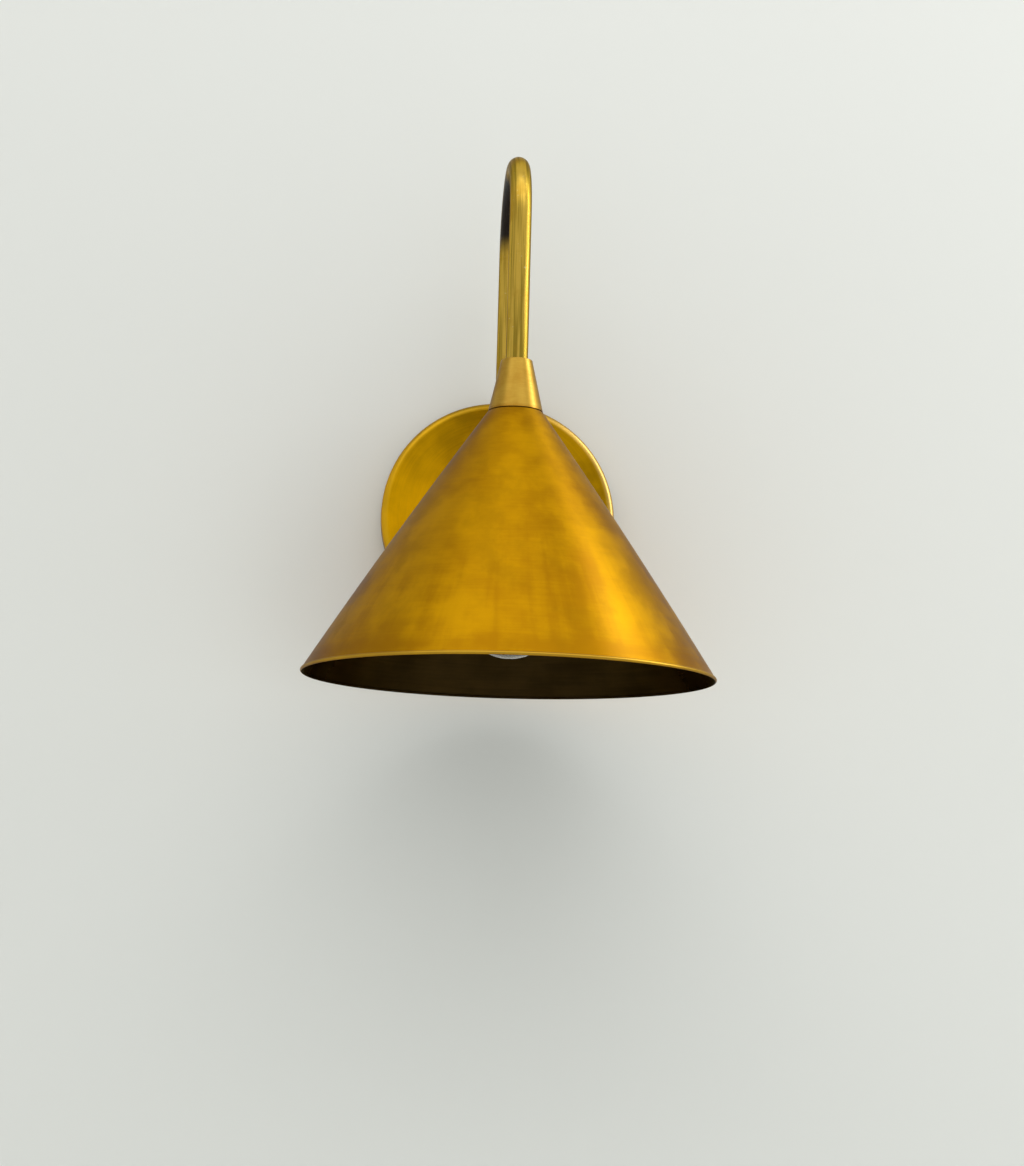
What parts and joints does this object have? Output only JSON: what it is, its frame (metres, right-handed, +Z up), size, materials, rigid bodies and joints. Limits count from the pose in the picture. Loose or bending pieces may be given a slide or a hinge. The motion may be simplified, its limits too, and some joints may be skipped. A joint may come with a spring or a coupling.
{
  "type": "wall sconce",
  "caption": "Wall light with a round plate, a gooseneck arm and a cone shade that hangs from its end round a lampholder and bulb.",
  "frame": {"origin": "middle of the wall plate, on the wall; also the middle of the two slots for the wall box's screws", "axes": "+Y into the wall, +Z up along the shade's axis, +X to the right of someone who faces the wall"},
  "size_m": [0.2032, 0.2126, 0.2766],
  "materials": {
    "shade_brass": "aged, brushed",
    "plate_brass": "aged, brushed",
    "arm_brass": "aged, brushed",
    "collar_brass": "aged, brushed",
    "turned_brass": "satin",
    "zinc_steel": "satin",
    "spring_steel": "satin",
    "black_bakelite": "satin",
    "porcelain": "gloss",
    "block_plastic": "matte",
    "live_insulation": "matte",
    "neutral_insulation": "matte",
    "earth_insulation": "matte",
    "nickel": "satin",
    "bulb_glass": "gloss",
    "clear_glass": "gloss",
    "black_glass": "gloss",
    "tungsten": "matte"
  },
  "bodies": {
    "base": {"wall_plate": "plate_brass", "mounting_strap": "zinc_steel", "strap_studs": "zinc_steel", "terminal_block": "block_plastic", "terminal_tubes": "turned_brass", "terminal_screws": "zinc_steel", "block_screw": "zinc_steel", "earth_screw": "zinc_steel", "earth_washer": "zinc_steel", "earth_tag": "nickel", "earth_lead": "earth_insulation", "arm_hub": "arm_brass", "arm_tube": "arm_brass", "wall_nipple": "turned_brass", "wall_lock_washer": "zinc_steel", "wall_lock_nut": "turned_brass", "live_lead": "live_insulation", "neutral_lead": "neutral_insulation", "shade_nipple": "turned_brass", "upper_lock_nut": "turned_brass", "shade_washer": "zinc_steel", "lower_lock_nut": "turned_brass", "socket_cap": "black_bakelite", "socket_cap_screw": "zinc_steel", "socket_core": "porcelain", "shell_rivets": "turned_brass", "screw_shell": "nickel", "socket_skirt": "black_bakelite", "socket_terminals": "turned_brass", "socket_terminal_screws": "zinc_steel", "contact_spring": "spring_steel"},
    "left_nut": {"left_cap_nut": "turned_brass"},
    "right_nut": {"right_cap_nut": "turned_brass"},
    "collar": {"collar": "collar_brass", "collar_grub_screw": "turned_brass"},
    "shade": {"shade": "shade_brass"},
    "contact": {"centre_contact": "turned_brass"},
    "bulb": {"bulb_globe": "bulb_glass", "bulb_cap": "nickel", "bulb_insulator": "black_glass", "bulb_contact": "nickel", "bulb_stem": "clear_glass", "bulb_filament": "tungsten"}
  },
  "joints": [
    {"name": "shade_turn", "type": "hinge", "parent": "base", "child": "shade", "pos_m": [0, -0.111, 0.0346], "axis": [0, 0, 1], "continuous": true},
    {"name": "collar_lift", "type": "slide", "parent": "base", "child": "collar", "axis": [0, 0, 1], "range_m": [0, 0.07]},
    {"name": "bulb_out", "type": "slide", "parent": "base", "child": "bulb", "axis": [0, 0, -1], "range_m": [0, 0.105]},
    {"name": "contact_press", "type": "slide", "parent": "base", "child": "contact", "axis": [0, 0, 1], "range_m": [0, 0.0008], "stiffness_N_per_m": 400, "deforming": ["contact_spring"]},
    {"name": "left_nut_turn", "type": "hinge", "parent": "base", "child": "left_nut", "pos_m": [-0.03, -0.014, 0], "axis": [0, -1, 0], "continuous": true},
    {"name": "right_nut_turn", "type": "hinge", "parent": "base", "child": "right_nut", "pos_m": [0.03, -0.014, 0], "axis": [0, -1, 0], "continuous": true}
  ]
}
